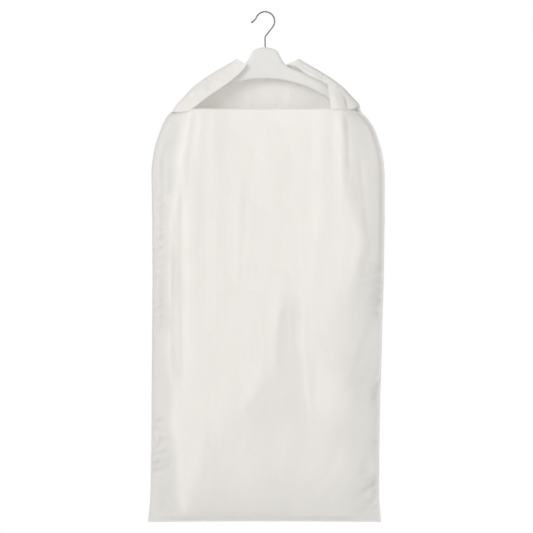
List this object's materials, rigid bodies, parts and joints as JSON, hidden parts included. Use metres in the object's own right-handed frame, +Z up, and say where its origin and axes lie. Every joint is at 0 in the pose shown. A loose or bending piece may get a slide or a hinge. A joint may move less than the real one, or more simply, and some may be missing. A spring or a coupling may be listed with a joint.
{
  "type": "garment bag",
  "caption": "Long translucent film garment bag with rounded shoulders, welded sides and a straight mouth under fold-back flaps, on a contoured hanger with a swivelling wire hook.",
  "frame": {"origin": "inner top of the hook's bow, where it rests on a rail, on the axis that the hook swivels about", "axes": "+Z up; the bag's front, with its mouth, faces -Y; +X is to the right seen from the front"},
  "size_m": [0.6, 0.0819, 1.3135],
  "materials": {
    "film": "milky translucent film, satin, finely frosted",
    "hanger_lacquer": "white lacquer, semi-gloss",
    "hook_wire": "bright drawn wire, nickel plated",
    "bush_metal": "nickel plated, satin"
  },
  "bodies": {
    "hook": {"hook": "hook_wire"},
    "bag": {"hook_bush": "bush_metal", "hanger_body": "hanger_lacquer", "back_panel": "film", "front_panel": "film", "left_shoulder_strip": "film", "right_shoulder_strip": "film"},
    "left_flap": {"left_flap": "film"},
    "right_flap": {"right_flap": "film"}
  },
  "joints": [
    {"name": "hook_swivel", "type": "hinge", "parent": "hook", "child": "bag", "pos_m": [0, 0, 0], "axis": [0, 0, 1], "continuous": true},
    {"name": "left_flap_fold", "type": "hinge", "parent": "bag", "child": "left_flap", "pos_m": [-0.07901, -0.01557, -0.12697], "axis": [-0.784, -0.1104, -0.6109], "range_deg": [0, 150]},
    {"name": "right_flap_fold", "type": "hinge", "parent": "bag", "child": "right_flap", "pos_m": [0.07901, -0.01557, -0.12697], "axis": [-0.784, 0.1104, 0.6109], "range_deg": [0, 150]}
  ]
}
